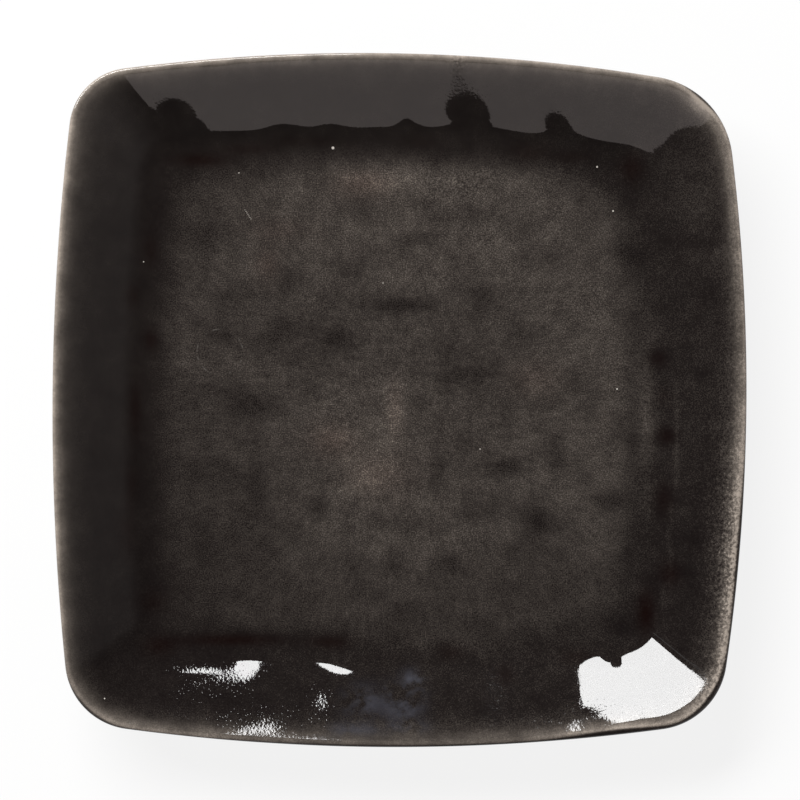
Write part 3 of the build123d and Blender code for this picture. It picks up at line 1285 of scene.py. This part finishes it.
WHITE = (1.0, 1.0, 1.0)
WARM_WHITE = (1.0, 0.89, 0.86)
CARDS = {
    "window_softbox": Card(122, 1.3, (-0.76, 0.81), (0.93, 1.7), 20.3, WHITE),
    "softbox_frame": Card(122, 1.3, (1.02, 1.06), (0.6, 1.8), 0.7, WHITE),
    "front_card": Card(-134, 1.0, (-0.25, 1.05), (0.6, 1.02), 0.95, WARM_WHITE),
}


def add_card(name, card):
    """An area light that stands upright, faces the plate's axis and is of one radiance all over."""
    turn = radians(card.azimuth)
    outwards = Vector((cos(turn), sin(turn), 0))
    sideways = Vector((-sin(turn), cos(turn), 0))
    light = bpy.data.lights.new(name, "AREA")
    light.shape = "RECTANGLE"
    light.size = card.sides[1] - card.sides[0]
    light.size_y = card.heights[1] - card.heights[0]
    light.energy = card.radiance * pi * light.size * light.size_y
    light.color = card.colour
    lamp = bpy.data.objects.new(name, light)
    lamp.location = outwards * card.distance + sideways * sum(card.sides) / 2
    lamp.location.z = sum(card.heights) / 2
    lamp.rotation_euler = outwards.to_track_quat("Z", "Y").to_euler()
    lamp.visible_camera = False
    bpy.context.scene.collection.objects.link(lamp)


ROOM_COLOUR = (1.0, 0.9, 0.87, 1)
ROOM_RADIANCE = 0.03
WALL_RADIANCE = 0.58
WALL_AZIMUTH = radians(-34)
WALL_SPREAD = (0.45, 0.9)
WALL_FADE_POWER = 2.0
HORIZON_HEIGHTS = (0.12, 0.25)


def add_world():
    """Dim room with a paler wall to the right; white to the camera, and in reflections near the horizon."""
    world = bpy.data.worlds.new("dim_room")
    world.use_nodes = True
    shader = Shader(world)
    direction = shader.node("ShaderNodeSeparateXYZ", (shader.generated,)).outputs
    wall = (cos(WALL_AZIMUTH), sin(WALL_AZIMUTH), 0)
    towards_wall = shader.node("ShaderNodeVectorMath", (shader.generated, wall), operation="DOT_PRODUCT")
    spread = (towards_wall.outputs["Value"], *WALL_SPREAD)
    share = shader.node("ShaderNodeMapRange", spread).outputs["Result"]
    wall_share = shader.math("POWER", share, WALL_FADE_POWER)
    room = shader.math("MULTIPLY_ADD", wall_share, WALL_RADIANCE, ROOM_RADIANCE)
    path = shader.node("ShaderNodeLightPath").outputs
    low = shader.remap(direction["Z"], *HORIZON_HEIGHTS, 1.0, 0.0)
    mirrored = shader.math("MAXIMUM", path["Is Glossy Ray"], path["Is Transmission Ray"])
    backdrop = shader.math("MAXIMUM", path["Is Camera Ray"], shader.math("MULTIPLY", mirrored, low))
    white_share = shader.math("SUBTRACT", 1.0, room)
    strength = shader.math("MULTIPLY_ADD", backdrop, white_share, room)
    background = world.node_tree.nodes["Background"]
    shader.feed(background.inputs["Color"], shader.blend(backdrop, ROOM_COLOUR, BACKDROP_WHITE))
    shader.feed(background.inputs["Strength"], strength)
    bpy.context.scene.world = world


SENSOR = 36.0


def add_camera():
    """Camera straight above the plate, framed as in the photograph."""
    data = bpy.data.cameras.new("camera")
    camera = bpy.data.objects.new("camera", data)
    bpy.context.scene.collection.objects.link(camera)
    data.sensor_width = SENSOR
    seen = IMAGE_PIXELS * PIXEL
    data.lens = SENSOR * CAMERA_HEIGHT / seen
    half = IMAGE_PIXELS / 2
    camera.location = (
        (half - PLATE_MIDDLE_X) * PIXEL, (PLATE_MIDDLE_Y - half) * PIXEL, LIP_MIDDLE_HEIGHT + CAMERA_HEIGHT
    )
    bpy.context.scene.camera = camera


# The whole plate on its stage

add_camera()

clay = clay_skin()
clay_normals = point_normals(clay.points, clay.quads)
outer = clay.points + clay_normals * clay.glaze[:, None]
outer_normals = point_normals(outer, clay.quads)
looks = glaze_looks(clay)

MATERIALS = {
    "stoneware": stoneware_material("stoneware"),
    "dark_glaze": glaze_material("dark_glaze"),
    "lip_glaze": glaze_material("lip_glaze"),
    "underside_glaze": glaze_material("underside_glaze"),
}


def finish_piece(piece, node, slot):
    """Puts a piece in its CAD node's place, with its material."""
    piece.data.materials.append(MATERIALS[slot])
    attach(piece, "root")
    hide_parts(node)


COAT_SLOTS = {
    "face_glaze": "dark_glaze",
    "lip_glaze": "lip_glaze",
    "underside_glaze": "underside_glaze",
    "foot_recess_glaze": "underside_glaze",
}
for coat, slot in COAT_SLOTS.items():
    coat_quads = clay.quads[clay.coats == coat]
    piece = glaze_coat(f"{coat}_coat", outer, clay.points, coat_quads, outer_normals, looks)
    finish_piece(piece, coat, slot)

body = add_mesh("clay_body", clay.points, clay.quads, clay_normals[clay.quads], {})
finish_piece(body, "stoneware_body", "stoneware")

foot_points, foot_quads = foot_ring_mesh()
foot_normals = point_normals(foot_points, foot_quads)
foot = add_mesh("luted_foot_ring", foot_points, foot_quads, foot_normals[foot_quads], {})
finish_piece(foot, "foot_ring", "stoneware")

add_floor()
add_world()
for name, card in CARDS.items():
    add_card(name, card)

bpy.context.scene.view_settings.view_transform = "Standard"
